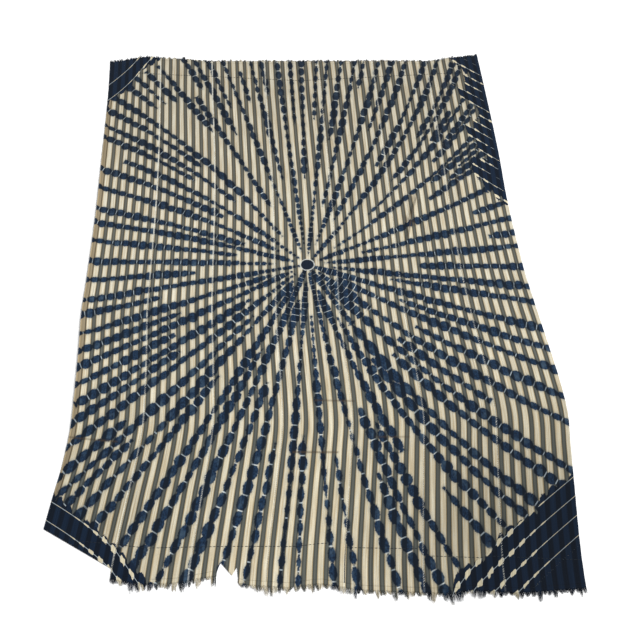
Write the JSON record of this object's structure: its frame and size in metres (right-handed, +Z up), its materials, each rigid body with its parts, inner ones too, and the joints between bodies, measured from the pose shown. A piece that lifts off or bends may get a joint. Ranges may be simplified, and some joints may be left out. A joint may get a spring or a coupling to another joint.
{
  "type": "baule cloth",
  "caption": "Strip-woven striped cotton cloth with radiating resist-dyed indigo beads, laid flat, one near corner turned under and both ends frayed.",
  "frame": {"origin": "on the floor under the middle of the cloth's outline", "axes": "+X across the strips, +Y along the warp towards the far end, +Z up from the floor through the face"},
  "size_m": [1.1786, 1.5524, 0.0077],
  "materials": {
    "striped_cotton": "matte handwoven cotton, striped and indigo dyed",
    "frayed_warp": "matte loose cotton warp ends"
  },
  "bodies": {
    "root": {"strip_1": "striped_cotton", "strip_2": "striped_cotton", "strip_3": "striped_cotton", "strip_4": "striped_cotton", "strip_5": "striped_cotton", "strip_6": "striped_cotton", "strip_7": "striped_cotton", "far_fringe": "frayed_warp", "near_fringe_left": "frayed_warp", "near_fringe_right": "frayed_warp"}
  },
  "joints": []
}
